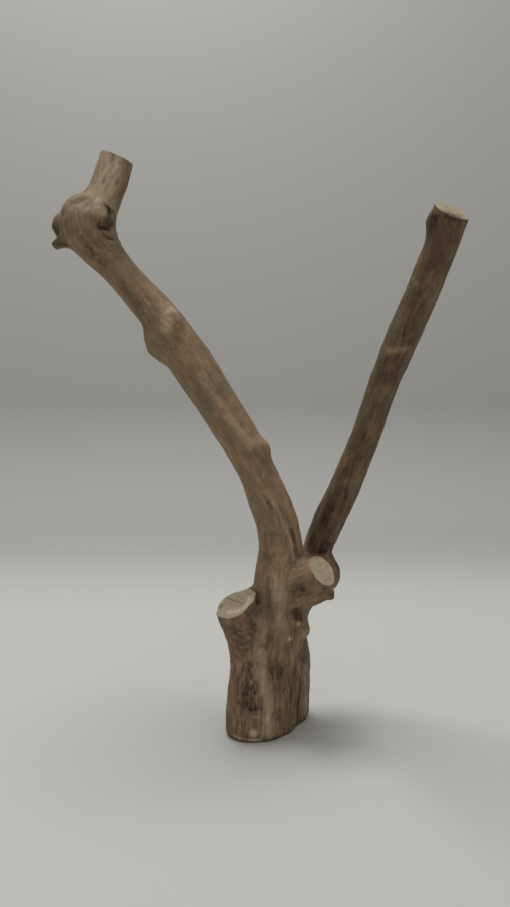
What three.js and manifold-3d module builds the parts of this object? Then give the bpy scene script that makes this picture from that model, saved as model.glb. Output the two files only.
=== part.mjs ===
// A fallen tree branch, weathered bare. A stout butt forks into two long limbs, three side
// branches are sawn off short, and it stands on the sawn foot of the butt.
// Millimetres, +Z up, +X to the right seen from the front, -Y towards the front. The origin is
// the middle of the foot.
import * as THREE from "three";
import { mergeVertices } from "three/addons/utils/BufferGeometryUtils.js";
import Module from "manifold-3d";

const wasm = await Module();
wasm.setup();

// Each stem is a list of stations from its root to its tip: x, y, z and the radius there.
const HEART = [
  [4, 3, -20, 27],
  [4, 3, 30, 28],
  [7, 4, 70, 30],
  [10, 4, 105, 30],
  [12, 1, 140, 28],
  [16, 0, 170, 26],
];
const LEFT_LIMB = [
  [16, 0, 160, 27],
  [15, 0, 183, 24],
  [13, 0, 204, 22.5],
  [9, 2, 225, 22],
  [0, 5, 248, 21.6],
  [-9, 8, 271, 20],
  [-28, 12, 307, 21],
  [-54, 17, 349, 21.5],
  [-78, 22, 385, 23],
  [-100, 27, 417, 22],
  [-114, 30, 436, 20.3],
  [-137, 35, 462, 18.2],
  [-161, 41, 490, 18],
  [-183, 46, 516, 23.5],
];
const RIGHT_LIMB = [
  [17, 15, 118, 19],
  [45, 30, 152, 20],
  [53, 33, 182, 15.5],
  [66, 25, 220, 17],
  [80, 14, 254, 16.3],
  [91, 4, 287, 15.6],
  [104, -10, 329, 14.9],
  [113, -22, 365, 15.3],
  [124, -35, 398, 16.4],
  [137, -49, 435, 15.8],
  [149, -65, 473, 15.4],
  [157, -77, 500, 15.4],
  [161, -88, 530, 15.4],
];
const LEFT_STUB = [
  [-21, -12, -20, 23],
  [-21, -12, 20, 22.5],
  [-20, -13, 50, 21],
  [-19, -15, 74, 19.5],
  [-21, -17, 100, 19.5],
  [-25, -19, 118, 20.5],
  [-31, -21, 134, 20.7],
  [-33, -23, 146, 20.9],
];
const FRONT_STUB = [
  [14, -4, 134, 22],
  [36, -21, 161, 18.5],
  [54, -34, 181, 16.8],
  [61, -39, 188, 16.8],
];
const CROOK_SHOOT = [
  [-182, 47, 540, 20.5],
  [-169, 42, 564, 18.3],
  [-160, 37, 583, 18.2],
  [-153, 31, 602, 16.8],
  [-148, 27, 618, 16.5],
];
const SPUR = [
  [-203, 44, 520, 7],
  [-215, 42, 513, 5],
  [-222, 41, 511, 6.2],
];
const RIGHT_FLANK = [
  [25, 25, -20, 20],
  [27, 23, 40, 20.5],
  [31, 16, 80, 15],
  [28, 10, 104, 6],
];
const BACK_FLANK = [
  [-12, 17, -20, 23],
  [-8, 15, 60, 20],
  [4, 10, 120, 16],
];
const FRONT_RIDGE = [
  [0, -23, -20, 9],
  [-2, -25, 40, 8],
  [-6, -26, 80, 7],
  [-5, -25, 108, 6],
  [6, -26, 138, 6],
  [8, -24, 165, 6],
];
const LIMB_RIDGE = [
  [22, -19, 176, 4],
  [20, -18, 200, 4],
  [12, -15, 226, 4],
  [1, -11, 246, 3],
];

// Lumps and hollows are ellipsoids: centre, the radius along the grain and across it, and the
// direction of the grain.
const UPRIGHT = [0, 0, 1];
const LIMB_GRAIN = [-0.52, 0.12, 0.85];
const RIGHT_GRAIN = [0.3, -0.33, 0.9];
const COLLAR = { at: [58, 30, 160], along: 22, across: 22, grain: UPRIGHT };
const TRUNK_LUMPS = [
  { at: [35, -13, 112], along: 11, across: 9, grain: UPRIGHT },
  { at: [61, -24, 155], along: 8, across: 7, grain: UPRIGHT },
  { at: [44, -18, 150], along: 9, across: 13, grain: UPRIGHT },
];
const TRUNK_HOLLOWS = [
  { at: [28, -35, 124], along: 24, across: 13, grain: UPRIGHT },
  { at: [-9, -41, 130], along: 28, across: 10, grain: UPRIGHT },
  { at: [-5, -30, 152], along: 13, across: 7, grain: UPRIGHT },
];
const LIMB_LUMPS = [
  { at: [-100, 10, 434], along: 13, across: 11, grain: LIMB_GRAIN },
  { at: [-115, 24, 405], along: 20, across: 11, grain: LIMB_GRAIN },
  { at: [-4, 4, 300], along: 8, across: 7, grain: LIMB_GRAIN },
];
const CROOK_LUMPS = [
  { at: [-190, 47, 536], along: 27, across: 26, grain: UPRIGHT },
  { at: [-203, 44, 546], along: 12, across: 10, grain: UPRIGHT },
  { at: [-219, 46, 531], along: 11, across: 9, grain: UPRIGHT },
  { at: [-171, 24, 542], along: 9, across: 8, grain: UPRIGHT },
];
const CROOK_HOLLOWS = [{ at: [-161, 22, 535], along: 12, across: 8, grain: UPRIGHT }];
const RIGHT_LUMPS = [{ at: [147, -78, 508], along: 10, across: 9, grain: RIGHT_GRAIN }];

// Saw cuts: the middle of the cut, the way out of the wood, and the radius of what is cut.
const FOOT_CUT = { at: [0, 0, 0], out: [0, 0, -1], reach: 70 };
const LEFT_STUB_CUT = { at: [-33, -22, 143], out: [-0.36, -0.31, 0.88], reach: 22.3 };
const FRONT_STUB_CUT = { at: [54, -34, 181], out: [0.62, -0.51, 0.6], reach: 20 };
const CROOK_CUT = { at: [-154, 31, 596], out: [0.37, -0.03, 0.93], reach: 35 };
const RIGHT_LIMB_CUT = { at: [157, -86, 516], out: [0.29, -0.53, 0.78], reach: 35 };

// Where the branch parts into its pieces: across each limb just past its fork, and under the
// crook. `out` points from the root towards the tip.
const LEFT_FORK = { at: [11, 2, 217], out: [-0.2, 0.08, 0.97], reach: 40 };
const RIGHT_FORK = { at: [62, 29, 203], out: [0.32, -0.2, 0.92], reach: 30 };
const CROOK_FORK = { at: [-160, 40, 488], out: [-0.68, 0.15, 0.72], reach: 35 };
const GAP = 0.3;

// Each cut is made with a round block, and a stub's wood first runs on past its cut.
const BLOCK_SIDES = 24;
const SAW_ALLOWANCE = 4;

const FORK_FILLET = 12;
const LUMP_FILLET = 8;
const HOLLOW_FILLET = 9;

// Two shapes joined, or one carved from the other, with a rounded seam `fillet` mm wide.
function join(a, b, fillet) {
  const overlap = Math.max(fillet - Math.abs(a - b), 0);
  return Math.min(a, b) - (overlap * overlap) / (4 * fillet);
}

function carve(a, b, fillet) {
  return -join(-a, b, fillet);
}

// Distance from a point to the skin of a round stem that runs through its stations.
function stem(stations) {
  const stepsPerStation = 4;
  const line = new THREE.CatmullRomCurve3(
    stations.map(([x, y, z]) => new THREE.Vector3(x, y, z)),
  );
  const girth = new THREE.SplineCurve(stations.map((s, i) => new THREE.Vector2(i, s[3])));
  const steps = (stations.length - 1) * stepsPerStation;
  const beads = Array.from({ length: steps + 1 }, (_, i) => ({
    at: line.getPoint(i / steps),
    radius: girth.getPoint(i / steps).y,
  }));
  const pieces = beads.slice(1).map((end, i) => {
    const way = end.at.clone().sub(beads[i].at);
    return { start: beads[i], end, way, lengthSq: way.lengthSq() };
  });
  const offset = new THREE.Vector3();
  return (p) => {
    let nearest = Infinity;
    for (const { start, end, way, lengthSq } of pieces) {
      offset.subVectors(p, start.at);
      const share = THREE.MathUtils.clamp(offset.dot(way) / lengthSq, 0, 1);
      const radius = THREE.MathUtils.lerp(start.radius, end.radius, share);
      const gap = offset.addScaledVector(way, -share).length() - radius;
      if (gap < nearest) nearest = gap;
    }
    return nearest;
  };
}

// Distance from a point to a side branch that ends just past its saw cut.
function stub({ stations, cut }) {
  const body = stem(stations);
  const face = new THREE.Plane().setFromNormalAndCoplanarPoint(
    new THREE.Vector3(...cut.out).normalize(),
    new THREE.Vector3(...cut.at),
  );
  return (p) => Math.max(body(p), face.distanceToPoint(p) - SAW_ALLOWANCE);
}

// Distance from a point to an ellipsoid, near its skin.
function ellipsoid({ at, along, across, grain }) {
  const centre = new THREE.Vector3(...at);
  const axis = new THREE.Vector3(...grain).normalize();
  const offset = new THREE.Vector3();
  return (p) => {
    offset.subVectors(p, centre);
    const a = offset.dot(axis);
    const b = Math.sqrt(Math.max(offset.lengthSq() - a * a, 0));
    const size = Math.hypot(a / along, b / across);
    const slope = Math.hypot(a / (along * along), b / (across * across));
    return slope > 0 ? (size * (size - 1)) / slope : -Math.min(along, across);
  };
}

// One growth: stems and stubs blended at their forks, with lumps added and hollows taken out.
function growth({ stems, stubs = [], lumps = [], hollows = [] }) {
  const bodies = [...stems.map(stem), ...stubs.map(stub)];
  const bumps = lumps.map(ellipsoid);
  const pits = hollows.map(ellipsoid);
  return (p) => {
    let d = bodies[0](p);
    for (const body of bodies.slice(1)) d = join(d, body(p), FORK_FILLET);
    for (const bump of bumps) d = join(d, bump(p), LUMP_FILLET);
    for (const pit of pits) d = carve(d, pit(p), HOLLOW_FILLET);
    return d;
  };
}

// The skin where `distance` is zero, as a closed mesh. A grid of cubes is laid over the box
// from `low` to `high`: each cube that the skin crosses gets one vertex, moved onto the skin,
// and each grid edge that it crosses gets the face between its four cubes.
function skinOf(distance, low, high, cell) {
  const count = low.map((v, k) => Math.ceil((high[k] - v) / cell) + 1);
  const [nx, ny, nz] = count;
  const index = (i, j, k) => i + nx * (j + ny * k);
  const value = new Float32Array(nx * ny * nz);
  const p = new THREE.Vector3();
  for (let k = 0; k < nz; k++)
    for (let j = 0; j < ny; j++)
      for (let i = 0; i < nx; i++) {
        const rim = [i, j, k].some((n, axis) => n === 0 || n === count[axis] - 1);
        p.set(low[0] + i * cell, low[1] + j * cell, low[2] + k * cell);
        value[index(i, j, k)] = rim ? Math.max(distance(p), cell / 2) : distance(p);
      }

  const corners = [0, 1, 2, 3, 4, 5, 6, 7].map((n) => [n & 1, (n >> 1) & 1, (n >> 2) & 1]);
  const edges = [];
  corners.forEach((a, m) =>
    [1, 2, 4].forEach((bit) => {
      if (!(m & bit)) edges.push([m, m | bit]);
    }),
  );
  const vertexOf = new Int32Array(nx * ny * nz).fill(-1);
  const points = [];
  for (let k = 0; k < nz - 1; k++)
    for (let j = 0; j < ny - 1; j++)
      for (let i = 0; i < nx - 1; i++) {
        const v = corners.map(([a, b, c]) => value[index(i + a, j + b, k + c)]);
        const crossed = edges.filter(([m, n]) => v[m] < 0 !== v[n] < 0);
        if (!crossed.length) continue;
        const middle = new THREE.Vector3();
        for (const [m, n] of crossed) {
          const share = v[m] / (v[m] - v[n]);
          middle.x += THREE.MathUtils.lerp(corners[m][0], corners[n][0], share);
          middle.y += THREE.MathUtils.lerp(corners[m][1], corners[n][1], share);
          middle.z += THREE.MathUtils.lerp(corners[m][2], corners[n][2], share);
        }
        middle.divideScalar(crossed.length);
        vertexOf[index(i, j, k)] = points.length;
        points.push(
          settle(
            new THREE.Vector3(i, j, k).add(middle).multiplyScalar(cell).add(new THREE.Vector3(...low)),
            distance,
            cell,
          ),
        );
      }

  const faces = [];
  const step = [1, nx, nx * ny];
  for (let k = 0; k < nz - 1; k++)
    for (let j = 0; j < ny - 1; j++)
      for (let i = 0; i < nx - 1; i++)
        for (let axis = 0; axis < 3; axis++) {
          const here = index(i, j, k);
          const inside = value[here] < 0;
          if (inside === value[here + step[axis]] < 0) continue;
          const [u, v] = [step[(axis + 1) % 3], step[(axis + 2) % 3]];
          const ring = [here, here - u, here - u - v, here - v].map((n) => vertexOf[n]);
          if (!inside) ring.reverse();
          const [a, b, c, d] = ring;
          const shortAC =
            points[a].distanceToSquared(points[c]) < points[b].distanceToSquared(points[d]);
          faces.push(...(shortAC ? [a, b, c, a, c, d] : [b, c, d, b, d, a]));
        }
  const geometry = new THREE.BufferGeometry().setFromPoints(points);
  geometry.setIndex(faces);
  return geometry;
}

// Moves a point onto the skin along the field's slope, by at most half a cell.
function settle(point, distance, cell) {
  const reach = 0.25;
  const rounds = 3;
  const gentlestSlope = 0.1;
  const start = point.clone();
  const probe = new THREE.Vector3();
  for (let round = 0; round < rounds; round++) {
    const here = distance(point);
    const slope = new THREE.Vector3();
    for (const axis of ["x", "y", "z"]) {
      probe.copy(point)[axis] += reach;
      slope[axis] = (distance(probe) - here) / reach;
    }
    point.addScaledVector(slope, -here / Math.max(slope.lengthSq(), gentlestSlope));
  }
  const moved = point.clone().sub(start);
  return start.add(moved.clampLength(0, cell / 2));
}

function solidOf(geometry) {
  const bare = geometry.clone();
  bare.deleteAttribute("normal");
  bare.deleteAttribute("uv");
  const merged = mergeVertices(bare, 1e-4);
  return new wasm.Manifold(
    new wasm.Mesh({
      numProp: 3,
      vertProperties: merged.attributes.position.array,
      triVerts: new Uint32Array(merged.index.array),
    }),
  );
}

// A round block over what lies beyond a cut. `shift` moves its face along the way out.
function beyond({ at, out, reach }, shift = 0) {
  const depth = 4 * reach;
  const way = new THREE.Vector3(...out).normalize();
  const block = new THREE.CylinderGeometry(reach, reach, depth, BLOCK_SIDES);
  block.translate(0, depth / 2 + shift, 0);
  block.applyQuaternion(
    new THREE.Quaternion().setFromUnitVectors(new THREE.Vector3(0, 1, 0), way),
  );
  block.translate(...at);
  return solidOf(block);
}

function turned({ at, out, reach }) {
  return { at, out: out.map((v) => -v), reach };
}

// A named piece of the branch: the skin of its growth, less what lies past its cuts and forks.
function piece({ name, wood, shape, low, high, cell, sawn = [], above = [], below = [] }) {
  let solid = solidOf(skinOf(growth(shape), low, high, cell));
  for (const cut of sawn) solid = solid.subtract(beyond(cut));
  for (const fork of above) solid = solid.subtract(beyond(fork, -GAP / 2));
  for (const fork of below) solid = solid.subtract(beyond(turned(fork), -GAP / 2));
  const cut = solid.getMesh();
  const geometry = new THREE.BufferGeometry();
  geometry.setAttribute("position", new THREE.BufferAttribute(cut.vertProperties, cut.numProp));
  geometry.setIndex(new THREE.BufferAttribute(cut.triVerts, 1));
  geometry.computeVertexNormals();
  const mesh = new THREE.Mesh(geometry, wood);
  mesh.name = name;
  return mesh;
}

const fibrousWood = new THREE.MeshStandardMaterial({ color: "#6b5643", roughness: 0.9, metalness: 0 });
const bareWood = new THREE.MeshStandardMaterial({ color: "#85705a", roughness: 0.8, metalness: 0 });
const darkWood = new THREE.MeshStandardMaterial({ color: "#4c3d33", roughness: 0.8, metalness: 0 });

const trunk = piece({
  name: "trunk",
  wood: fibrousWood,
  shape: {
    stems: [HEART, LEFT_LIMB, RIGHT_LIMB, RIGHT_FLANK, BACK_FLANK, FRONT_RIDGE, LIMB_RIDGE],
    stubs: [
      { stations: LEFT_STUB, cut: LEFT_STUB_CUT },
      { stations: FRONT_STUB, cut: FRONT_STUB_CUT },
    ],
    lumps: [COLLAR, ...TRUNK_LUMPS],
    hollows: TRUNK_HOLLOWS,
  },
  low: [-75, -75, -20],
  high: [105, 75, 260],
  cell: 6.9,
  sawn: [FOOT_CUT, LEFT_STUB_CUT, FRONT_STUB_CUT],
  above: [LEFT_FORK, RIGHT_FORK],
});

const leftLimb = piece({
  name: "left_limb",
  wood: bareWood,
  shape: { stems: [LEFT_LIMB, LIMB_RIDGE], lumps: LIMB_LUMPS },
  low: [-200, -35, 195],
  high: [50, 75, 530],
  cell: 8.8,
  above: [CROOK_FORK],
  below: [LEFT_FORK],
});

const crook = piece({
  name: "crook",
  wood: bareWood,
  shape: { stems: [LEFT_LIMB, CROOK_SHOOT, SPUR], lumps: CROOK_LUMPS, hollows: CROOK_HOLLOWS },
  low: [-245, 0, 460],
  high: [-115, 90, 625],
  cell: 5.8,
  sawn: [CROOK_CUT],
  below: [CROOK_FORK],
});

const rightLimb = piece({
  name: "right_limb",
  wood: darkWood,
  shape: { stems: [RIGHT_LIMB], lumps: RIGHT_LUMPS },
  low: [35, -125, 185],
  high: [200, 65, 550],
  cell: 8.2,
  sawn: [RIGHT_LIMB_CUT],
  below: [RIGHT_FORK],
});

const branch = new THREE.Group();
branch.add(trunk, leftLimb, crook, rightLimb);

export default branch;
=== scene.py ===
# A fallen tree branch that lost its bark, was pruned with a hand saw and stands on its sawn foot.
# Lengths here are in millimetres until a mesh is handed to Blender, which works in metres.
import itertools
import math
import bpy
import numpy as np
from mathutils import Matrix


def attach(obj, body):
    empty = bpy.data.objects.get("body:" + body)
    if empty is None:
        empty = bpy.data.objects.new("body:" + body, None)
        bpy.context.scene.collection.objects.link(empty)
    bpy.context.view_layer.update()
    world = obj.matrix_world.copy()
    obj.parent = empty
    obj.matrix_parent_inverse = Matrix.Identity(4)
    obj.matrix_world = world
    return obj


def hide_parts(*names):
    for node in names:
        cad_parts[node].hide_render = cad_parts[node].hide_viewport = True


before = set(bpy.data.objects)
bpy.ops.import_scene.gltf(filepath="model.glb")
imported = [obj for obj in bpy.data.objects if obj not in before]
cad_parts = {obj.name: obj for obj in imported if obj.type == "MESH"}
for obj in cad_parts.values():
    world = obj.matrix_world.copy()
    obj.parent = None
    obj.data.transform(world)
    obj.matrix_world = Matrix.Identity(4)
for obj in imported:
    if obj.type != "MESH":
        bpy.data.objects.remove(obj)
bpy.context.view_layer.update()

# The grown wood
# A branch is one body of wood, laid down ring by ring, so its skin runs through every fork with
# no seam. It is made here as one skin over the solids, past the saw cuts by what the saw takes
# off again, and every piece below is cut from it.
MM = 0.001
SKIN_CELL = 1.05
SKIN_SMOOTHING = 42
SAW_ALLOWANCE = 6.0
FORK_OVERLAP = 1.5
# A solid's flat ends are wider than any of its facets, and a fork has one on either side.
FLAT_AREA = 400.0
FLAT_WITHIN = 0.03
FLAT_REACH = 90.0
LARGEST_TRIANGLES = 400
FORK_GAP = 6.0
OPPOSITE = -0.99


def unit(v):
    """The vectors at a length of one."""
    return v / np.maximum(np.linalg.norm(v, axis=-1, keepdims=True), 1e-9)


def corners_of(mesh):
    """The mesh's corners in millimetres."""
    points = np.empty(len(mesh.vertices) * 3, np.float32)
    mesh.vertices.foreach_get("co", points)
    return points.reshape(-1, 3).astype(float) / MM


def place_corners(mesh, points):
    mesh.vertices.foreach_set("co", (points * MM).astype(np.float32).ravel())
    mesh.update()


def normals_of(mesh):
    normals = np.empty(len(mesh.vertices) * 3, np.float32)
    mesh.vertices.foreach_get("normal", normals)
    return normals.reshape(-1, 3).astype(float)


def welded(node):
    """The node's solid in millimetres, its shared corners merged: points and triangles."""
    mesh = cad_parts[node].data
    mesh.calc_loop_triangles()
    triangles = np.empty(len(mesh.loop_triangles) * 3, np.int32)
    mesh.loop_triangles.foreach_get("vertices", triangles)
    points = corners_of(mesh)
    _, first, index = np.unique(
        np.round(points, 3), axis=0, return_index=True, return_inverse=True
    )
    triangles = index.reshape(-1)[triangles].reshape(-1, 3)
    return points[first], triangles


def flat_faces(points, triangles):
    """The solid's flat ends, which are its saw cuts and its forks."""
    a, b, c = (points[triangles[:, k]] for k in range(3))
    normals = np.cross(b - a, c - a)
    areas = np.linalg.norm(normals, axis=1) / 2
    middles = (a + b + c) / 3
    ends = []
    free = np.ones(len(triangles), bool)
    for t in np.argsort(-areas)[:LARGEST_TRIANGLES]:
        if not free[t]:
            continue
        out = unit(normals[t])
        level = np.abs((points - a[t]) @ out) < FLAT_WITHIN
        close = np.linalg.norm(middles - middles[t], axis=1) < FLAT_REACH
        here = level[triangles].all(1) & close
        area = areas[here].sum()
        if area < FLAT_AREA:
            continue
        free &= ~here
        corners = np.unique(triangles[here])
        at = (middles[here] * areas[here, None]).sum(0) / area
        reach = np.linalg.norm(points[corners] - at, axis=1).max()
        radius = math.sqrt(area / math.pi)
        ends.append({"at": at, "out": out, "radius": radius, "reach": reach, "corners": corners})
    return ends


solids = {name: welded(name) for name in sorted(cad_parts)}
ends = {name: flat_faces(*solid) for name, solid in solids.items()}


def is_fork(name, end):
    """A flat end is a fork where another piece's flat end faces it."""
    for other, found in ends.items():
        for facing in found:
            apart = np.linalg.norm(facing["at"] - end["at"])
            if other != name and facing["out"] @ end["out"] < OPPOSITE and apart < FORK_GAP:
                return True
    return False


def by_height(found):
    return sorted(found, key=lambda end: end["at"][2])


cuts = {name: by_height(e for e in found if not is_fork(name, e)) for name, found in ends.items()}
forks = {name: by_height(e for e in found if is_fork(name, e)) for name, found in ends.items()}
foot, left_stub_cut, front_stub_cut = cuts["trunk"]
right_fork, left_fork = forks["trunk"]
crook_fork = forks["crook"][0]
crook_cut = cuts["crook"][0]
right_cut = cuts["right_limb"][0]


def mesh_object(name, points, faces):
    mesh = bpy.data.meshes.new(name)
    mesh.from_pydata((points * MM).tolist(), [], faces)
    made = bpy.data.objects.new(name, mesh)
    bpy.context.scene.collection.objects.link(made)
    return made


def applied(made):
    """The object with its modifiers worked into its mesh."""
    graph = bpy.context.evaluated_depsgraph_get()
    mesh = bpy.data.meshes.new_from_object(made.evaluated_get(graph))
    made.modifiers.clear()
    made.data = mesh
    return made


def grown_skin():
    """One smooth skin over all the solids."""
    all_points, all_faces, count = [], [], 0
    for name, (points, triangles) in solids.items():
        grown = points.copy()
        for end in ends[name]:
            longer = FORK_OVERLAP if is_fork(name, end) else SAW_ALLOWANCE
            grown[end["corners"]] += end["out"] * longer
        all_points.append(grown)
        all_faces += (triangles + count).tolist()
        count += len(points)
    made = mesh_object("skin", np.concatenate(all_points), all_faces)
    cells = made.modifiers.new("cells", "REMESH")
    cells.mode = "VOXEL"
    cells.voxel_size = SKIN_CELL * MM
    smooth = made.modifiers.new("smooth", "SMOOTH")
    smooth.factor = 0.5
    smooth.iterations = SKIN_SMOOTHING
    return applied(made)


skin = grown_skin()

# The grain
# Wood fibres run along each limb and bend with it, and its cracks and streaks follow them. Each
# limb has a heart line, its pith, and a point of the skin is told by where it lies across that
# line and how far along it.
HEART_STEP = 10.0
SLAB = 9.0
TRUNK_STATIONS = (50, 90)
LEFT_LIMB_STATIONS = (260, 300, 340, 380, 420, 455)
CROOK_STATIONS = (525, 555)
RIGHT_LIMB_STATIONS = (240, 290, 340, 390, 440, 485)
PAST_THE_CUT = -15.0
RIGHT_LIMB_ROOT = [(18, 26, -20, 16), (24, 22, 70, 18)]
LEFT_STUB_ROOT = [(-26, -6, -20, 20), (-28, -10, 60, 22)]
FRONT_STUB_ROOT = [(24, -4, -20, 20), (24, -8, 70, 22)]
LEFT_STUB_INSIDE = 40.0
FRONT_STUB_INSIDE = 46.0
RIGHT_LIMB_INSIDE = 50.0


def curve_through(stations):
    """Rows of x, y, z and radius about HEART_STEP apart on a smooth curve through the stations."""
    stations = np.array(stations, float)
    first, last = 2 * stations[0] - stations[1], 2 * stations[-1] - stations[-2]
    rows = np.concatenate([[first], stations, [last]])
    made = []
    for k in range(1, len(rows) - 2):
        p0, p1, p2, p3 = rows[k - 1 : k + 3]
        count = max(int(np.linalg.norm((p2 - p1)[:3]) / HEART_STEP), 1)
        for t in np.arange(count) / count:
            bend = (2 * p0 - 5 * p1 + 4 * p2 - p3) * t**2 + (3 * p1 - p0 - 3 * p2 + p3) * t**3
            made.append(p1 + ((p2 - p0) * t + bend) / 2)
    return np.array(made + [rows[-2]])


def section_stations(name, heights):
    """The middle and the mean radius of a piece's level sections."""
    points = solids[name][0]
    found = []
    for height in heights:
        near = points[np.abs(points[:, 2] - height) < SLAB]
        middle = near.mean(0)
        radius = np.linalg.norm((near - middle)[:, :2], axis=1).mean()
        found.append([*middle[:2], height, radius])
    return found


def end_station(end, inside=0.0):
    return [*(end["at"] - end["out"] * inside), end["radius"]]


heart_lines = [
    curve_through(
        [end_station(foot, PAST_THE_CUT), end_station(foot)]
        + section_stations("trunk", TRUNK_STATIONS)
        + [end_station(left_fork)]
        + section_stations("left_limb", LEFT_LIMB_STATIONS)
        + [end_station(crook_fork)]
        + section_stations("crook", CROOK_STATIONS)
        + [end_station(crook_cut), end_station(crook_cut, PAST_THE_CUT)]
    ),
    curve_through(
        RIGHT_LIMB_ROOT
        + [end_station(right_fork, RIGHT_LIMB_INSIDE), end_station(right_fork)]
        + section_stations("right_limb", RIGHT_LIMB_STATIONS)
        + [end_station(right_cut), end_station(right_cut, PAST_THE_CUT)]
    ),
    curve_through(
        LEFT_STUB_ROOT
        + [end_station(left_stub_cut, inside) for inside in (LEFT_STUB_INSIDE, 0, PAST_THE_CUT)]
    ),
    curve_through(
        FRONT_STUB_ROOT
        + [end_station(front_stub_cut, inside) for inside in (FRONT_STUB_INSIDE, 0, PAST_THE_CUT)]
    ),
]


def grain_at(points):
    """Where points lie in the grain of the nearest limb: twice across its heart, once along it."""
    nearest = np.full(len(points), np.inf)
    place = np.zeros((len(points), 3))
    for line in heart_lines:
        travelled = 0.0
        for start, step in zip(line[:-1], np.diff(line, axis=0)):
            length = np.linalg.norm(step[:3])
            way = step[:3] / length
            offset = points - start[:3]
            share = np.clip(offset @ way / length, 0, 1)
            offset -= share[:, None] * step[:3]
            gap = np.linalg.norm(offset, axis=1) - (start[3] + share * step[3])
            closer = gap < nearest
            nearest[closer] = gap[closer]
            side = unit(np.array([1.0, 0, 0]) - way[0] * way)
            place[closer, 0] = offset[closer] @ side
            place[closer, 1] = offset[closer] @ np.cross(way, side)
            place[closer, 2] = travelled + share[closer] * length
            travelled += length
    return place


def noise(places, seed):
    """Smooth noise from about -1 to 1, with one swell for each unit of the places."""
    draw = np.random.default_rng(seed)
    shuffled = draw.permutation(256)
    slopes = unit(draw.normal(size=(256, 3)))
    cell = np.floor(places).astype(int)
    part = places - cell
    fade = part**3 * (part * (part * 6 - 15) + 10)
    total = np.zeros(len(places))
    for corner in itertools.product((0, 1), repeat=3):
        i, j, k = ((cell + corner) & 255).T
        slope = slopes[shuffled[(shuffled[(shuffled[i] + j) & 255] + k) & 255]]
        weight = np.where(corner, fade, 1 - fade).prod(1)
        total += weight * ((part - corner) * slope).sum(1)
    return total * 1.7


def fibres(place, across, along, seed):
    """Noise drawn out along the grain, of that width and length in millimetres."""
    return noise(place / [across, across, along], seed)


def rising(low, high, value):
    t = np.clip((value - low) / (high - low), 0, 1)
    return t * t * (3 - 2 * t)


# The butt's wood is coarse and torn, and the limbs above the forks are rubbed nearly smooth.
COARSE_BELOW, SMOOTH_ABOVE = 120, 235
LIMB_COARSENESS = 0.12
FISSURE_SPACING, FISSURE_LENGTH, FISSURE_DEPTH = 9, 70, 1.1
FISSURE_SHARPNESS = 0.2
FISSURED_PATCH = 45
# Heights, widths and lengths of the fibres that stand out, and their share on smooth wood.
SWELL_HEIGHT, SWELL_WIDTH, SWELL_LENGTH = 0.7, 16, 60
DIMPLE_HEIGHT, DIMPLE_WIDTH = 0.35, 11
RIB_HEIGHT, RIB_WIDTH, RIB_LENGTH, RIB_LEFT = 0.6, 4, 32, 0.12
STRAND_HEIGHT, STRAND_WIDTH, STRAND_LENGTH, STRAND_LEFT = 0.4, 2, 18, 0.08


def coarseness(points):
    return 1 - (1 - LIMB_COARSENESS) * rising(COARSE_BELOW, SMOOTH_ABOVE, points[:, 2])


def fissures(points, place):
    """1 in the middle of a drying crack along the grain, 0 beside it."""
    off = np.abs(fibres(place, FISSURE_SPACING, FISSURE_LENGTH, 3)) / FISSURE_SHARPNESS
    near = np.clip(1 - off, 0, 1)
    return near**1.5 * rising(-0.2, 0.3, noise(points / FISSURED_PATCH, 8))


def weathering(points, place):
    """How far the fibrous surface stands out of the smooth skin, in millimetres."""
    coarse = coarseness(points)
    swell = SWELL_HEIGHT * fibres(place, SWELL_WIDTH, SWELL_LENGTH, 1)
    swell += DIMPLE_HEIGHT * noise(points / DIMPLE_WIDTH, 6)
    ribs = RIB_HEIGHT * fibres(place, RIB_WIDTH, RIB_LENGTH, 2)
    ribs *= RIB_LEFT + (1 - RIB_LEFT) * coarse
    strands = STRAND_HEIGHT * fibres(place, STRAND_WIDTH, STRAND_LENGTH, 4)
    strands *= STRAND_LEFT + (1 - STRAND_LEFT) * coarse
    return swell + ribs + strands - FISSURE_DEPTH * coarse * fissures(points, place)


skin_points = corners_of(skin.data)
skin_relief = weathering(skin_points, grain_at(skin_points))
place_corners(skin.data, skin_points + normals_of(skin.data) * skin_relief[:, None])

# The saw
# A pruning saw took off each limb's end in one flat cut. Blocks as wide as each cut take the
# wood beyond it away, and thin blades part the skin where the pieces meet at the forks.
CUT_CELL = 0.9
CUT_SPOKES = 144
SAW_MARGIN = 2.0
SAW_HEIGHT = 11.0
BLADE = 0.04
BLADE_MARGIN = 6.0
SAWN_WITHIN = 0.02


def saw_block(name, end, margin, height, cell):
    """A closed block as wide as a cut, its near face in rings of cells: points and faces."""
    out = end["out"]
    side = unit(np.cross([0, 1, 0.01], out))
    axes = np.stack([side, np.cross(out, side), out])
    outline = (solids[name][0][end["corners"]] - end["at"]) @ axes[:2].T
    angles = np.arange(CUT_SPOKES) * 2 * math.pi / CUT_SPOKES
    ways = np.stack([np.cos(angles), np.sin(angles)])
    reach = (outline @ ways).max(0) + margin
    rings = max(int(reach.mean() / cell), 1)
    near = [(ways * reach * k / rings).T for k in range(1, rings + 1)]
    flat = np.concatenate([[[0, 0]], *near, near[-1]])
    points = np.column_stack([flat, np.zeros(len(flat))])
    points[-CUT_SPOKES:, 2] = height
    ring = np.arange(CUT_SPOKES)
    after = np.roll(ring, -1)
    faces = np.stack([np.zeros_like(ring), after + 1, ring + 1], 1).tolist()
    for k in range(rings):
        low, high = 1 + k * CUT_SPOKES, 1 + (k + 1) * CUT_SPOKES
        faces += np.stack([low + ring, low + after, high + after, high + ring], 1).tolist()
    faces.append((1 + rings * CUT_SPOKES + ring).tolist())
    return points @ axes + end["at"], faces


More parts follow.
